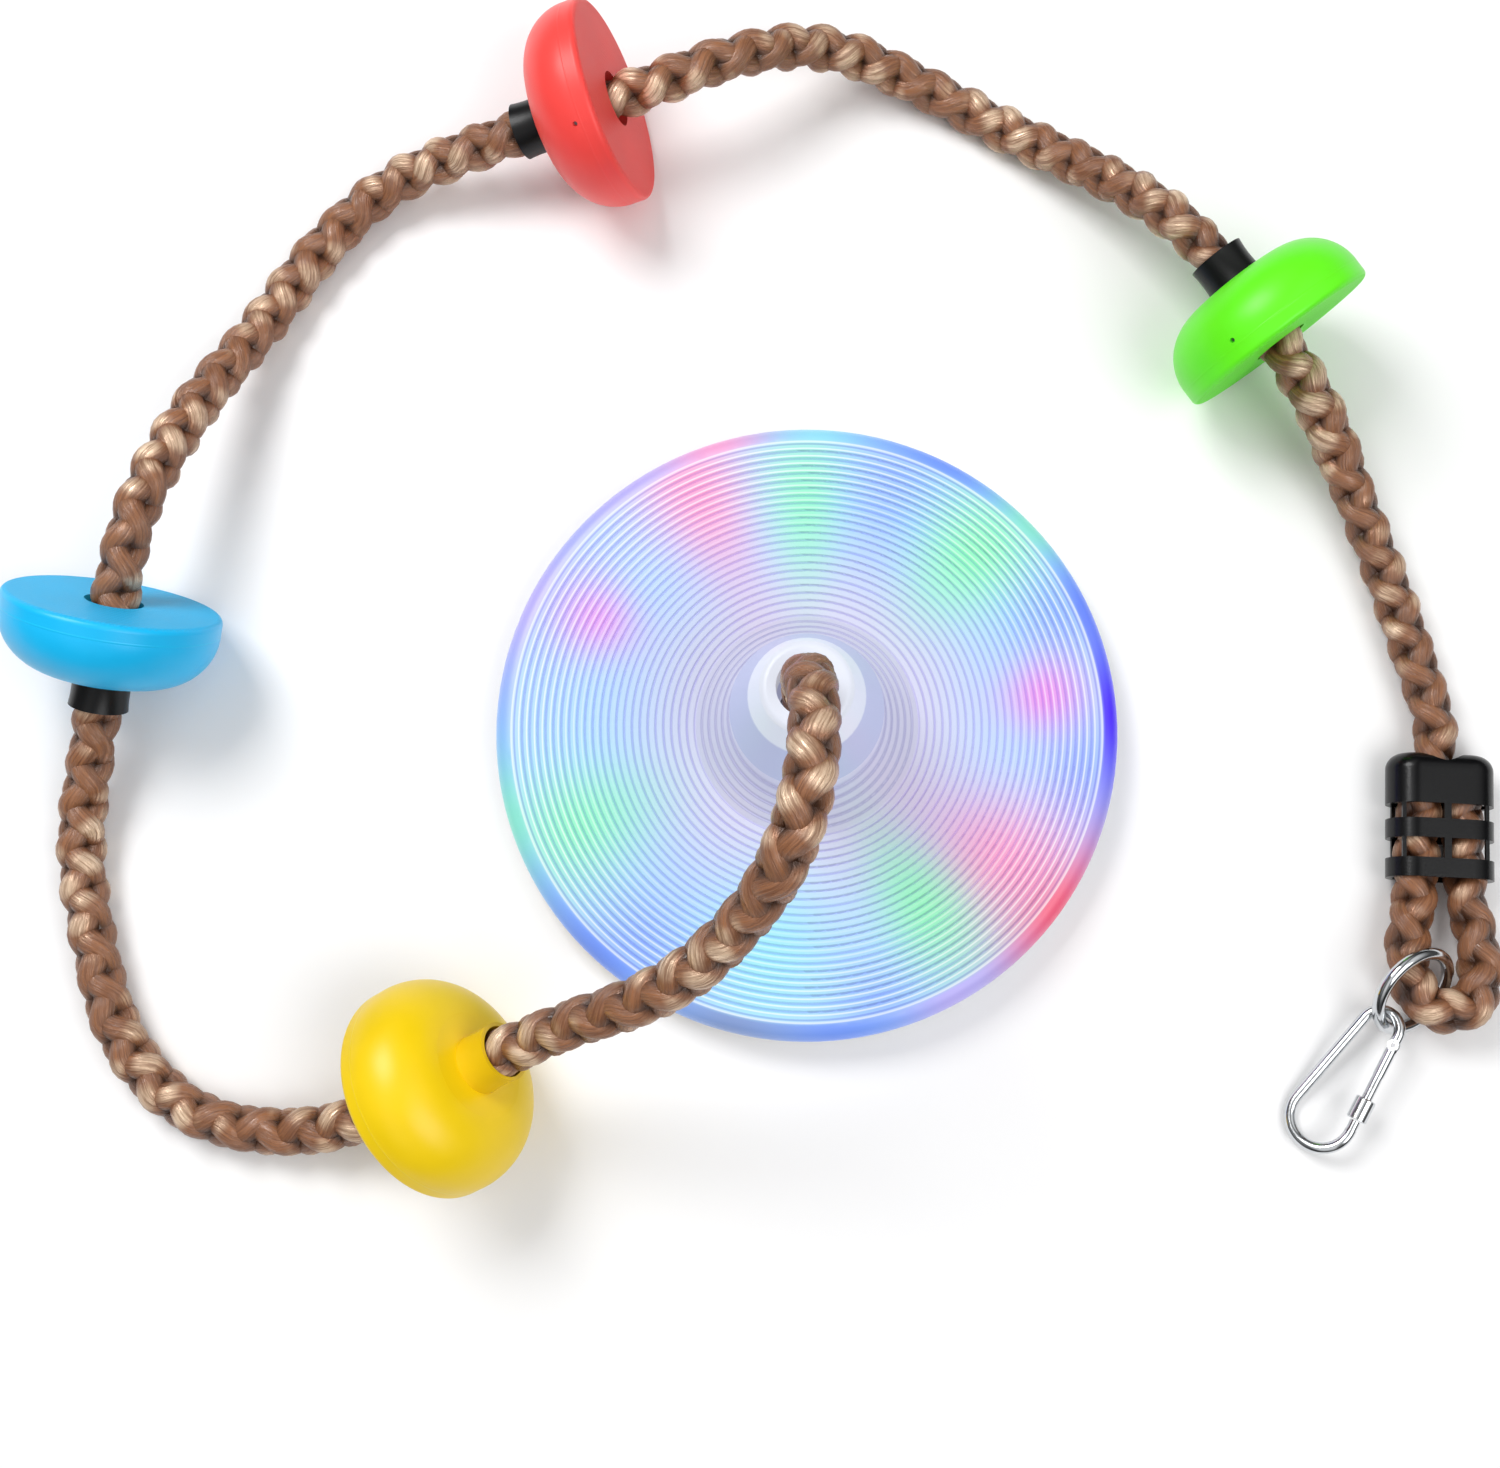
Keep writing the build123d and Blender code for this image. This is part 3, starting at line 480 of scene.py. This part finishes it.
@dataclass
class Plait:
    """Four strands plaited round a line: two turn one way, two the other, over and under."""

    turn: float = 0.042
    strand_r: float = 0.0066
    middle_r: float = 0.0040
    weave: float = 0.0012
    swell: float = 0.05
    facing: float = 45.0
    squeeze_over: float = 0.02
    full_in: tuple[float, float] = (0.030, 0.060)
    full_out: tuple[float, float] = (0.168, 0.192)
    step: float = 0.0016
    sides: int = 16
    tree: ShapeGraph | None = field(default=None, repr=False)

    def graph(self) -> ShapeGraph:
        """Returns: the tree, made once."""
        if self.tree is None:
            self.tree = self._make()
        return self.tree

    def _make(self) -> ShapeGraph:
        """Returns: the new tree."""
        g = ShapeGraph("plait")
        turn = g.asked("Turn Length")
        scale_to = g.asked("Squeezed Scale")
        squeeze_from = g.asked("Squeeze From")
        full_scale = g.asked("Full Scale")
        offset = g.asked("Run Offset")
        material = g.asked("Material", "NodeSocketMaterial")
        line = g.node("GeometryNodeMeshToCurve", None, {0: g.shape()})
        line = g.node("GeometryNodeResampleCurve", {"mode": "LENGTH"}, {"Curve": line, "Length": self.step})
        line = g.node("GeometryNodeSetCurveNormal", {"mode": NormalMode.LEVEL.value}, {0: line})
        place = g.node("GeometryNodeInputPosition")
        run = g.node("GeometryNodeSplineParameter", None, None, "Length")
        ahead = g.node("GeometryNodeInputTangent")
        across = g.node("GeometryNodeInputNormal")
        above = g.vector("CROSS_PRODUCT", ahead, across)
        for name, value, kind in (("core", place, "FLOAT_VECTOR"), ("run", run, "FLOAT")):
            line = g.node("GeometryNodeStoreNamedAttribute", {"data_type": kind, "domain": "POINT"},
                          {"Geometry": line, "Name": name, "Value": value})
        past = run - squeeze_from
        full = past.step(*self.full_in) * (1.0 - past.step(*self.full_out))
        scale = past.step(0.0, self.squeeze_over) * (scale_to - 1.0) + 1.0 \
            + full * (full_scale - scale_to)
        phase = (run + offset) / turn * (2 * math.pi)
        wave = (phase * 2.0).fn("COSINE")
        ring = g.node("GeometryNodeCurvePrimitiveCircle", {"mode": "RADIUS"},
                      {"Resolution": self.sides, "Radius": 1.0})
        part = g.node("GeometryNodeSplineParameter")
        ring = g.node("GeometryNodeStoreNamedAttribute", {"data_type": "FLOAT", "domain": "POINT"},
                      {"Geometry": ring, "Name": "around", "Value": part})
        strands = []
        for way, start in ((1, 0.0), (1, math.pi), (-1, 0.0), (-1, math.pi)):
            angle = phase * way + (start + math.radians(self.facing))
            reach = (wave * (way * self.weave) + self.middle_r) * scale
            sideways = g.vector("SCALE", across)
            g.put(sideways.socket.node.inputs["Scale"], angle.fn("COSINE") * reach)
            upward = g.vector("SCALE", above)
            g.put(upward.socket.node.inputs["Scale"], angle.fn("SINE") * reach)
            strand = g.node("GeometryNodeSetPosition", None,
                            {"Geometry": line, "Offset": g.vector("ADD", sideways, upward)})
            strand = g.node("GeometryNodeStoreNamedAttribute", {"data_type": "FLOAT", "domain": "POINT"},
                            {"Geometry": strand, "Name": "lobe", "Value": wave * way})
            thick = (wave * (way * self.swell) + 1.0) * self.strand_r * scale
            strands.append(g.node("GeometryNodeCurveToMesh", None,
                                  {"Curve": strand, "Profile Curve": ring, "Scale": thick,
                                   "Fill Caps": True}))
        joined = g.node("GeometryNodeJoinGeometry")
        for strand in strands:
            g.tree.links.new(strand.socket, joined.socket.node.inputs[0])
        core = g.node("GeometryNodeInputNamedAttribute", {"data_type": "FLOAT_VECTOR"}, {"Name": "core"})
        out = g.vector("DISTANCE", place, core, output="Value") / (self.middle_r + self.weave + self.strand_r)
        kept = g.node("GeometryNodeStoreNamedAttribute", {"data_type": "FLOAT", "domain": "POINT"},
                      {"Geometry": joined, "Name": "out", "Value": out})
        g.close(kept, material)
        return g

    def grow(self, name: str, line: bpy.types.Mesh, material: bpy.types.Material,
             squeeze_from: float = 99.0, squeezed: float = 1.0, full: float = 1.0,
             offset: float = 0.0) -> bpy.types.Object:
        """Plaits strands round a line.

        Args: name: object's name. line: mesh of the centre line. material: finish.
        squeeze_from: distance along the line from which it is squeezed. squeezed: how much.
        full: how much fuller it is between the squeezed lengths.
        offset: distance added before the pattern is worked out.
        Returns: the strands as one mesh object.
        """
        return self.graph().grow(name, line, {
            "Turn Length": self.turn, "Squeezed Scale": squeezed, "Squeeze From": squeeze_from,
            "Full Scale": full, "Run Offset": offset, "Material": material})


def spline_line(name: str, points: Sequence[Point], steps: int = 24) -> bpy.types.Mesh:
    """Smooth line through a NURBS spline with the points as its control points.

    Args: name: data name. points: the route. steps: points of the line per control point.
    Returns: the line as a mesh of points and edges.
    """
    curve = bpy.data.curves.new(name, "CURVE")
    curve.dimensions = "3D"
    spline = curve.splines.new("NURBS")
    spline.points.add(len(points) - 1)
    for knot, at in zip(spline.points, points):
        knot.co = (*at, 1.0)
    spline.order_u = 3
    spline.use_endpoint_u = True
    spline.resolution_u = steps
    holder = bpy.data.objects.new(name, curve)
    bpy.context.scene.collection.objects.link(holder)
    graph = bpy.context.evaluated_depsgraph_get()
    mesh = bpy.data.meshes.new_from_object(holder.evaluated_get(graph), depsgraph=graph)
    bpy.data.objects.remove(holder)
    return mesh


def points_of(mesh: bpy.types.Mesh) -> list[Point]:
    """Args: mesh: a line. Returns: its points in order."""
    return [tuple(v.co) for v in mesh.vertices]


def length_of(points: Sequence[Point]) -> float:
    """Args: points: a line's points. Returns: its length."""
    return sum((Vector(b) - Vector(a)).length for a, b in zip(points, points[1:]))


def dress(material: bpy.types.Material, *names: str) -> None:
    """Gives CAD nodes a finish.

    Args: material: the finish. names: CAD nodes.
    """
    for name in names:
        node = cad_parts[name]
        if not node.material_slots:
            node.data.materials.append(material)
        for place in node.material_slots:
            place.link = "OBJECT"
            place.material = material
        log.info("dressed %s with %s", name, material.name)


# ------------------------------------------------------------------ the rope
@dataclass
class Rope:
    """The climbing rope from the hub's mouth to the end of its eye, and its knot in the seat."""

    diameter: float = 0.024
    eye_diameter: float = 0.022
    eye_full: float = 0.0252
    lift: float = 0.050
    floor: float = 0.012
    eye_floor: float = 0.0135
    hub_top: float = 0.119
    free_length: float = 1.81
    eye_length: float = 0.24

    def route(self) -> list[Point]:
        """Returns: the route's points, from the hub's mouth to the rope's end in the clamp."""
        top, lift, low, eye = self.hub_top, self.lift, self.floor, self.eye_floor
        return [
            (0, 0, top), (0, -0.0006, top + 0.031), (0.003, -0.014, top + 0.063),
            (0.003, -0.046, top + 0.081), (-0.006, -0.080, top + 0.073), (-0.024, -0.104, 0.158),
            (-0.058, -0.132, lift + 0.074),
            (-0.118, -0.1474, lift + 0.0295), (-0.191, -0.1815, lift - 0.0189),
            (-0.238, -0.194, low), (-0.290, -0.186, low), (-0.326, -0.150, low),
            (-0.341, -0.102, low), (-0.351, -0.056, low),
            (-0.342, -0.0096, lift - 0.0246), (-0.322, 0.0714, lift + 0.0091),
            (-0.313, 0.108, lift + 0.010), (-0.296, 0.158, 0.040), (-0.274, 0.206, 0.014),
            (-0.250, 0.246, low), (-0.214, 0.284, 0.014),
            (-0.1628, 0.2952, lift - 0.0183), (-0.0744, 0.314, lift + 0.0076),
            (-0.034, 0.333, lift + 0.004), (0.010, 0.352, 0.030), (0.060, 0.338, low),
            (0.106, 0.311, low), (0.148, 0.283, 0.026),
            (0.186, 0.2423, lift + 0.0061), (0.2416, 0.167, lift - 0.002),
            (0.268, 0.124, 0.018), (0.288, 0.070, low), (0.300, 0.026, low),
            (0.3069, -0.001, eye), (0.3000, -0.024, eye), (0.2936, -0.044, eye),
            (0.2914, -0.082, eye), (0.285, -0.100, eye + 0.0023), (0.285, -0.126, eye + 0.0048),
            (0.295, -0.136, eye + 0.0063), (0.309, -0.136, eye + 0.0063),
            (0.319, -0.126, eye + 0.0048), (0.319, -0.100, eye + 0.0023),
            (0.3138, -0.0832, eye), (0.3168, -0.0278, eye),
        ]

    def knot_route(self) -> list[Point]:
        """Returns: the points of the rope inside the seat, from the knot's end to the hub's mouth."""
        return [(0.017, 0.003, 0.020), (0.010, 0.017, 0.021), (-0.008, 0.016, 0.022),
                (-0.017, 0.001, 0.024), (-0.009, -0.014, 0.028), (0.009, -0.014, 0.033),
                (0.013, 0.001, 0.036), (0.004, 0.010, 0.038), (-0.006, -0.004, 0.036),
                (0.0, -0.006, 0.046), (0.0, -0.0006, 0.062), (0, 0, self.hub_top)]

    def build(self, plait: Plait, fibre: bpy.types.Material, on_it: list[bpy.types.Object]) -> None:
        """Makes both lengths of rope.

        Args: plait: how its strands lie. fibre: finish. on_it: pieces that the rope carries; not used.
        """
        line = spline_line("rope_line", self.route())
        path = points_of(line)
        thinner = next(i for i, p in enumerate(path) if p[0] > 0.29 and p[1] < -0.010 and p[2] < 0.02)
        strands = plait.grow("rope_strands", line, fibre, length_of(path[:thinner]),
                             self.eye_diameter / self.diameter, self.eye_full / self.diameter)
        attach(strands, "rope")
        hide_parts("rope", "rope_eye")
        log.info("rope: centre line %.3f m, %d points", length_of(path), len(path))
        inner = spline_line("knot_line", self.knot_route())
        knot = plait.grow("knot_strands", inner, fibre, offset=-length_of(points_of(inner)))
        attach(knot, "rope")
        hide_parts("rope_knot")


# ------------------------------------------------------------------ the seat
@dataclass
class Seat:
    """The disc with its hub, and all that is inside and under it."""

    lamps: Sequence[Lamp] = (
        Lamp(Glow.SKY, 182, 0.112, 30, 0.048, 0.35),
        Lamp(Glow.LAVENDER, 150, 0.140, 16, 0.026, 0.35),
        Lamp(Glow.PINK, 115, 0.128, 12, 0.046, 0.92),
        Lamp(Glow.GREEN, 90, 0.112, 10, 0.040, 0.72),
        Lamp(Glow.BLUE, 69, 0.128, 14, 0.036, 0.42),
        Lamp(Glow.GREEN, 46, 0.118, 14, 0.036, 0.85),
        Lamp(Glow.BLUE, 24, 0.135, 10, 0.026, 0.45),
        Lamp(Glow.MAGENTA, 7, 0.116, 9, 0.020, 0.72),
        Lamp(Glow.BLUE, -12, 0.135, 13, 0.020, 0.50),
        Lamp(Glow.PINK, -36, 0.116, 17, 0.040, 0.95),
        Lamp(Glow.RED, -38, 0.146, 12, 0.016, 0.55),
        Lamp(Glow.GREEN, -58, 0.104, 12, 0.036, 0.80),
        Lamp(Glow.BLUE, -76, 0.140, 10, 0.024, 0.45),
        Lamp(Glow.CYAN, -100, 0.112, 16, 0.040, 0.60),
        Lamp(Glow.BLUE, -126, 0.136, 12, 0.028, 0.45),
        Lamp(Glow.GREEN, -156, 0.118, 14, 0.036, 0.72),
        Lamp(Glow.MAGENTA, 153, 0.114, 9, 0.020, 0.60),
    )
    rim_lamps: Sequence[Lamp] = (
        Lamp(Glow.LAVENDER, 155, 0.147, 16, 0.03, 0.9),
        Lamp(Glow.LAVENDER, 128, 0.147, 14, 0.03, 0.8),
        Lamp(Glow.PINK, 108, 0.147, 11, 0.03, 0.85),
        Lamp(Glow.CYAN, 88, 0.147, 9, 0.03, 0.6),
        Lamp(Glow.BLUE, 62, 0.147, 12, 0.03, 0.8),
        Lamp(Glow.GREEN, 42, 0.147, 9, 0.03, 0.6),
        Lamp(Glow.BLUE, 24, 0.147, 9, 0.03, 0.9),
        Lamp(Glow.DEEP, 2, 0.147, 17, 0.03, 1.0),
        Lamp(Glow.RED, -37, 0.147, 16, 0.03, 0.95),
        Lamp(Glow.LAVENDER, -62, 0.147, 10, 0.03, 0.9),
        Lamp(Glow.BLUE, -84, 0.147, 12, 0.03, 0.8),
        Lamp(Glow.SMOKE, -104, 0.147, 12, 0.03, 0.5),
        Lamp(Glow.BLUE, -132, 0.147, 14, 0.03, 0.9),
        Lamp(Glow.GREEN, -162, 0.147, 12, 0.03, 0.6),
    )

    def build(self) -> None:
        """Gives the seat's pieces their finishes."""
        dress(GlowingDisc("disc glow", self.lamps, self.rim_lamps).build(), "seat_top_shell")
        dress(Plastic("base white", (0.80, 0.83, 0.90), 0.5).build(),
              "seat_base_shell", "button_bezel", "battery_door")
        dress(Plastic("seal rubber", (0.05, 0.05, 0.055), 0.7).build(), "shell_seal", "battery_gasket")
        dress(Plastic("foot rubber", (0.028, 0.028, 0.030), 0.75, depth=0.0002).build(), "rubber_feet")
        dress(Metal("screw steel", (0.62, 0.62, 0.63), 0.3).build(),
              "shell_screws", "board_screws", "battery_door_screws", "knot_washer")
        dress(Plastic("strip board", (0.85, 0.85, 0.80), 0.45).build(), "led_strip")
        dress(Plastic("light chip", (0.95, 0.92, 0.60), 0.2, coat=0.5).build(), "led_chips")
        dress(Plastic("board green", (0.02, 0.16, 0.06), 0.35, mottle=0.2).build(), "control_board")
        dress(Plastic("chip black", (0.015, 0.015, 0.017), 0.5).build(),
              "controller_chip", "push_switch", "battery_tray")
        dress(Plastic("cell sleeve", (0.03, 0.10, 0.30), 0.22, coat=0.4).build(), "batteries")
        dress(Metal("contact nickel", (0.78, 0.76, 0.70), 0.2).build(), "battery_contacts")
        dress(Plastic("button rubber", (0.17, 0.19, 0.22), 0.6).build(), "power_button")


# ------------------------------------------------------------------ the platforms
@dataclass
class Platforms:
    """Four foot platforms with their collars and pins."""

    collar_l: float = 0.016
    colours: dict[str, tuple[Colour, int]] = field(default_factory=lambda: {
        "yellow": ((0.93, 0.64, 0.002), 7),
        "blue": ((0.006, 0.52, 0.96), 14),
        "red": ((0.97, 0.070, 0.062), 21),
        "green": ((0.14, 0.95, 0.012), 28),
    })

    def build(self, route: Sequence[Point]) -> list[bpy.types.Object]:
        """Gives the platforms their finishes.

        Args: route: the rope's route, whose runs through the platforms set their axes.
        Returns: the platforms, collars and pins.
        """
        black = Plastic("collar black", (0.004, 0.004, 0.0045), 0.34, shine=0.3).build()
        for name, (colour, run) in self.colours.items():
            near, far = Vector(route[run]), Vector(route[run + 1])
            axis = (near - far).normalized()
            middle = far + axis * (((near - far).length - self.collar_l) / 2)
            up = (Vector((0, 0, 1)) - axis * axis.z).normalized()
            dress(PlatformPlastic(f"platform {name}", colour, tuple(middle), tuple(axis), tuple(up)).build(),
                  f"{name}_platform")
            dress(Plastic("collar yellow", (0.82, 0.54, 0.004), 0.4).build() if name == "yellow" else black,
                  f"{name}_collar")
        dress(Metal("pin steel", (0.20, 0.20, 0.21), 0.35).build(), "platform_pins")
        log.info("platforms: %d", len(self.colours))
        names = [f"{n}_{k}" for n in self.colours for k in ("platform", "collar")] + ["platform_pins"]
        return [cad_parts[n] for n in names]


# ------------------------------------------------------------------ the clamp
@dataclass
class Clamp:
    """The cap and the two bands that hold the rope's eye closed."""

    def build(self) -> list[bpy.types.Object]:
        """Returns: its pieces."""
        dress(Plastic("clamp black", (0.003, 0.003, 0.0035), 0.24, shine=0.28).build(),
              "clamp_cap", "clamp_cage")
        dress(Metal("rivet steel", (0.05, 0.05, 0.055), 0.4).build(), "clamp_rivets")
        return [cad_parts[n] for n in ("clamp_cap", "clamp_cage", "clamp_rivets")]


# ------------------------------------------------------------------ ring and hook
@dataclass
class Hook:
    """The steel ring, and the carabiner with its gate, thread and nut."""

    hinge: Point = (0.275406, -0.151947, 0.018463)
    tip: Point = (0.257047, -0.186177, 0.014960)
    thread_r: float = 0.00238
    thread_from: float = 0.0165
    thread_to: float = 0.0385
    pitch: float = 0.0011
    ridge: float = 0.00022

    def thread(self, material: bpy.types.Material) -> bpy.types.Object:
        """Args: material: finish. Returns: the gate's thread as a raised helix."""
        g = ShapeGraph("thread")
        turns = g.asked("Turns")
        height = g.asked("Height")
        radius = g.asked("Radius")
        finish = g.asked("Material", "NodeSocketMaterial")
        helix = g.node("GeometryNodeCurveSpiral", None,
                       {"Resolution": 28, "Rotations": turns, "Start Radius": radius,
                        "End Radius": radius, "Height": height})
        ring = g.node("GeometryNodeCurvePrimitiveCircle", {"mode": "RADIUS"},
                      {"Resolution": 6, "Radius": 1.0})
        ridge = g.node("GeometryNodeCurveToMesh", None,
                       {"Curve": helix, "Profile Curve": ring, "Scale": self.ridge, "Fill Caps": True})
        g.close(ridge, finish)
        made = g.grow("gate_thread", bpy.data.meshes.new("thread_seed"), {
            "Turns": (self.thread_to - self.thread_from) / self.pitch,
            "Height": self.thread_to - self.thread_from, "Radius": self.thread_r, "Material": material})
        axis = (Vector(self.tip) - Vector(self.hinge)).normalized()
        turn = axis.to_track_quat("Z", "Y").to_matrix().to_4x4()
        made.data.transform(turn)
        start = Vector(self.hinge) + axis * self.thread_from
        for vertex in made.data.vertices:
            vertex.co += start
        return made

    def build(self) -> None:
        """Gives the ring and the carabiner their finishes and the gate its thread."""
        bright = Metal("bright zinc", (0.68, 0.70, 0.72), 0.10).build()
        dress(Metal("ring zinc", (0.66, 0.68, 0.70), 0.09).build(), "steel_ring")
        dress(bright, "carabiner_frame", "gate", "lock_nut")
        dress(Metal("spring wire", (0.30, 0.30, 0.31), 0.3).build(), "gate_pin", "gate_spring")
        thread = self.thread(bright)
        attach(thread, "gate")
        log.info("hook: thread of %d points", len(thread.data.vertices))


# ------------------------------------------------------------------ camera, floor and light
@dataclass
class Studio:
    """Camera, floor and soft lights."""

    distance: float = 0.95
    elevation: float = 80.0
    lens: float = 46.284
    shift_x: float = -0.0379
    floor_half: float = 6.0
    lights: Sequence[tuple[Point, float, float]] = (
        ((-0.85, 0.85, 1.6), 0.9, 23.0),
        ((0.9, -0.7, 1.6), 1.2, 14.0),
    )

    def camera(self) -> None:
        """Makes the camera."""
        data = bpy.data.cameras.new("camera")
        data.lens = self.lens
        data.sensor_width = 36.0
        data.sensor_fit = "HORIZONTAL"
        data.shift_x = self.shift_x
        data.clip_start = 0.01
        made = bpy.data.objects.new("camera", data)
        angle = math.radians(self.elevation)
        made.location = (0.0, -self.distance * math.cos(angle), self.distance * math.sin(angle))
        made.rotation_euler = (math.pi / 2 - angle, 0.0, 0.0)
        bpy.context.scene.collection.objects.link(made)
        bpy.context.scene.camera = made

    def floor(self) -> None:
        """Makes the pale floor."""
        h = self.floor_half
        mesh = bpy.data.meshes.new("floor")
        mesh.from_pydata([(-h, -h, 0), (h, -h, 0), (h, h, 0), (-h, h, 0)], [], [(0, 1, 2, 3)])
        made = bpy.data.objects.new("floor", mesh)
        bpy.context.scene.collection.objects.link(made)
        g = MaterialGraph("floor")
        g.set(Base_Color=(0.955, 0.955, 0.96, 1.0), Roughness=0.85)
        mesh.materials.append(g.material)

    def light(self) -> None:
        """Makes the lights and the sky that metal reflects."""
        for i, (at, size, power) in enumerate(self.lights):
            data = bpy.data.lights.new(f"panel_{i}", "AREA")
            data.size = size
            data.energy = power
            made = bpy.data.objects.new(f"panel_{i}", data)
            made.location = at
            made.rotation_euler = (-Vector(at)).to_track_quat("-Z", "Y").to_euler()
            bpy.context.scene.collection.objects.link(made)
        world = bpy.data.worlds.new("sky")
        world.use_nodes = True
        bpy.context.scene.world = world
        g = Graph(world.node_tree)
        toward = g.node("ShaderNodeTexCoord", None, None, "Generated")
        x, _, z = g.split(toward)
        bright = z.step(0.28, 0.85) * 0.78 + 0.08
        band = (x * 7.0 + z * 5.0).fn("SINE").step(-0.8, 0.0) * 0.72 + 0.28
        background = next(n for n in world.node_tree.nodes if n.type == "BACKGROUND")
        level = bright * band
        g.put(background.inputs["Color"], g.combine(level, level, level))
        background.inputs["Strength"].default_value = 1.0
        bpy.context.scene.view_settings.view_transform = "Standard"

    def build(self) -> None:
        """Makes all three."""
        self.camera()
        self.floor()
        self.light()
        log.info("studio: camera, floor and %d lights", len(self.lights))


def main() -> None:
    """Builds the studio, the rope and the rest."""
    logging.basicConfig(level=logging.INFO, format="%(message)s")
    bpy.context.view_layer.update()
    Studio().build()
    rope = Rope()
    on_it = Platforms().build(rope.route()) + Clamp().build()
    rope.build(Plait(), RopeFibre("rope fibre").build(), on_it)
    Seat().build()
    Hook().build()


if __name__ == "__main__":
    main()
